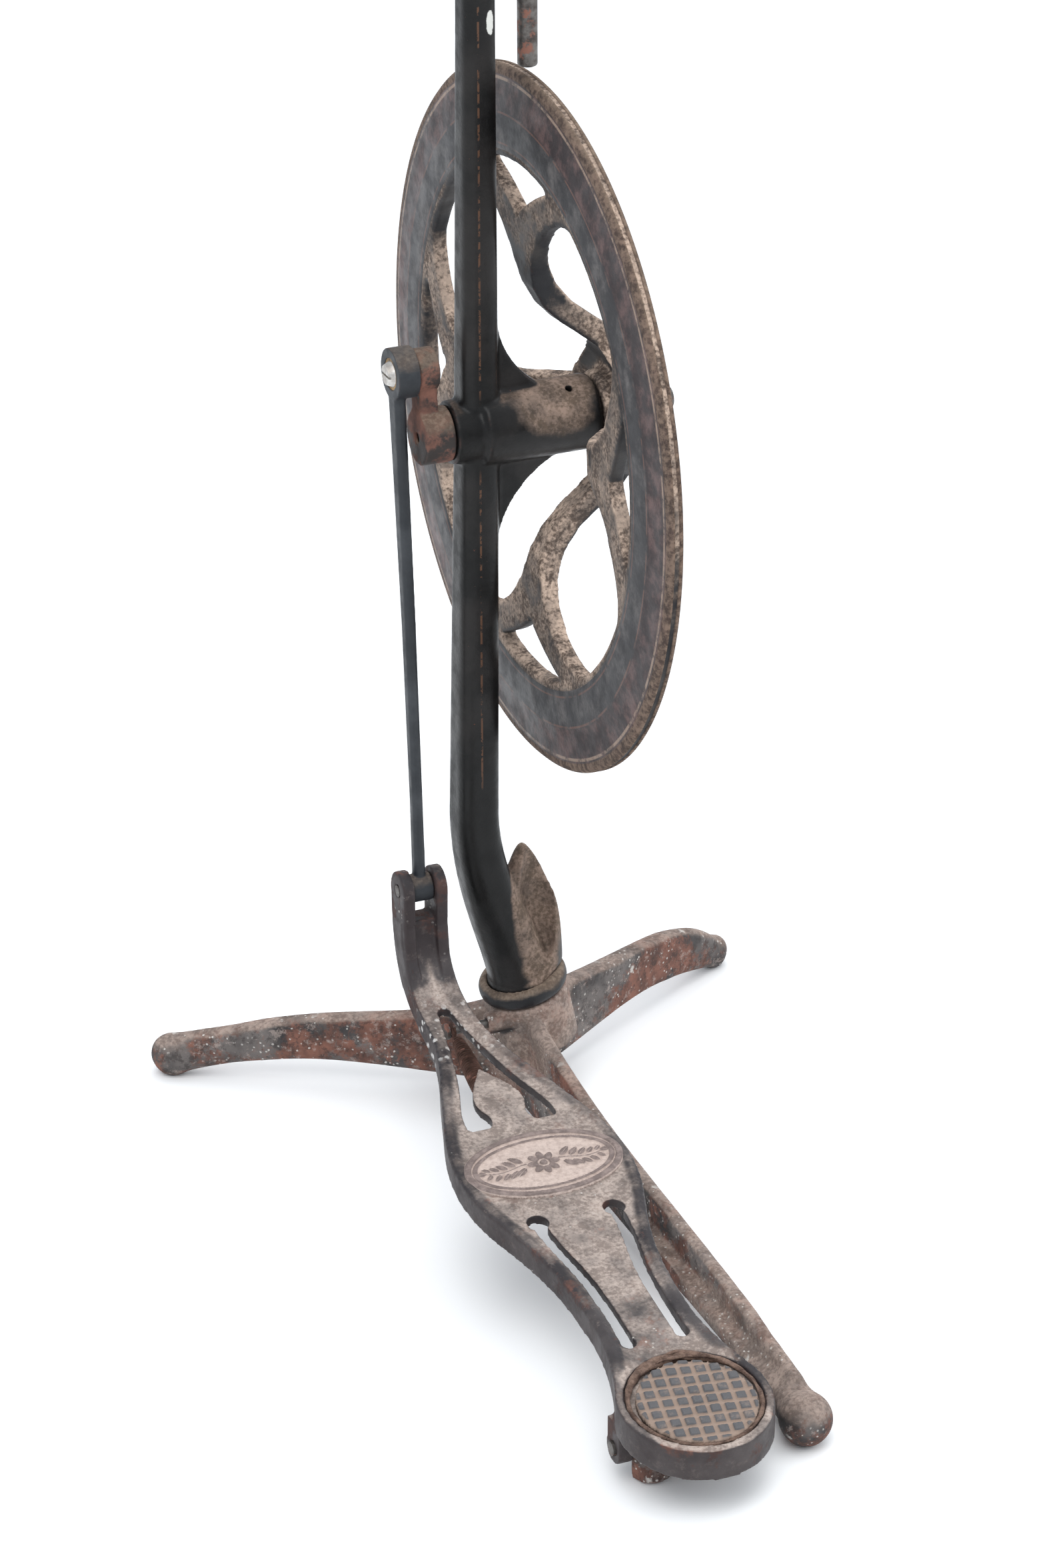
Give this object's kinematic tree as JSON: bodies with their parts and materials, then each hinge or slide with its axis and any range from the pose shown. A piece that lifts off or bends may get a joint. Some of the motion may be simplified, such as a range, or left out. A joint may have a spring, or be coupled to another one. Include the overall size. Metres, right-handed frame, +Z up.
{
  "type": "treadle grindstone stand",
  "caption": "Foot-driven grinding stand: tripod base, bent column, spoked flywheel with crank and rod, ornamented treadle and a small stone on a belt-driven spindle.",
  "frame": {"origin": "middle of the bounding box at floor level", "axes": "+Z up, X along the flywheel's axle with the crank at -X, the treadle's pad end at -Y"},
  "size_m": [0.2848, 0.4886, 0.792],
  "materials": {
    "iron_black": "worn semi-gloss black paint over cast iron",
    "iron_rust": "dusty worn brown-black paint with rust",
    "steel_dark": "darkened machined steel",
    "steel_bright": "worn bright steel",
    "spring_rust": "rusty spring steel",
    "bronze": "dull bearing bronze",
    "rubber": "aged hard rubber",
    "fibre": "brown crumbling fibre",
    "stone": "fine grey grit"
  },
  "bodies": {
    "stand": {"tripod_base": "iron_rust", "socket_collar": "iron_black", "column": "iron_black", "spring_anchor": "steel_dark", "fulcrum_pin": "steel_dark", "axle_bush_left": "bronze", "axle_bush_right": "bronze", "head_casting": "iron_black", "head_screw": "steel_dark", "guide_screw": "steel_dark", "spindle_bush_left": "bronze", "spindle_bush_right": "bronze", "rest_post": "steel_dark", "rest_arm": "iron_black", "rest_plate": "steel_dark"},
    "flywheel": {"flywheel": "iron_black", "axle": "steel_dark", "hub_washer": "steel_dark", "hub_nut": "steel_dark", "crank_arm": "iron_rust", "crank_set_screw": "steel_dark"},
    "treadle": {"treadle": "iron_rust", "treadle_medallion": "iron_rust", "heel_pad": "rubber", "pad_bed": "fibre", "clevis_pin": "steel_dark", "treadle_spring": "spring_rust"},
    "rod": {"connecting_rod": "iron_black", "rod_eye_bush": "bronze", "crank_pin_screw": "steel_bright"},
    "spindle": {"spindle": "steel_bright", "inner_flange": "steel_dark", "grindstone": "stone", "outer_flange": "steel_dark", "spindle_nut": "steel_dark", "pulley": "iron_black", "pulley_screw": "steel_dark"},
    "hanging_rod": {"hanging_rod": "steel_dark", "rod_knob": "steel_dark"}
  },
  "joints": [
    {"name": "wheel_spin", "type": "hinge", "parent": "stand", "child": "flywheel", "pos_m": [0.00355, 0.0933, 0.3253], "axis": [1, 0, 0], "continuous": true},
    {"name": "treadle_rock", "type": "hinge", "parent": "stand", "child": "treadle", "pos_m": [-0.04745, -0.2027, 0.015], "axis": [1, 0, 0], "range_deg": [-11.4, 0.3], "stiffness_Nm_per_rad": 8, "springref_deg": 14.32, "deforming": ["treadle_spring"]},
    {"name": "rod_swing", "type": "hinge", "parent": "treadle", "child": "rod", "pos_m": [-0.04745, 0.0793, 0.122], "axis": [1, 0, 0], "range_deg": [-1, 18]},
    {"name": "spindle_spin", "type": "hinge", "parent": "stand", "child": "spindle", "pos_m": [0.00355, 0.0933, 0.742], "axis": [1, 0, 0], "continuous": true},
    {"name": "hanging_slide", "type": "slide", "parent": "stand", "child": "hanging_rod", "axis": [0, 0, 1], "range_m": [-0.003, 0.012]}
  ],
  "couplings": [
    {"joint": "rod_swing", "follows": "treadle_rock", "ratio": -1.42}
  ]
}
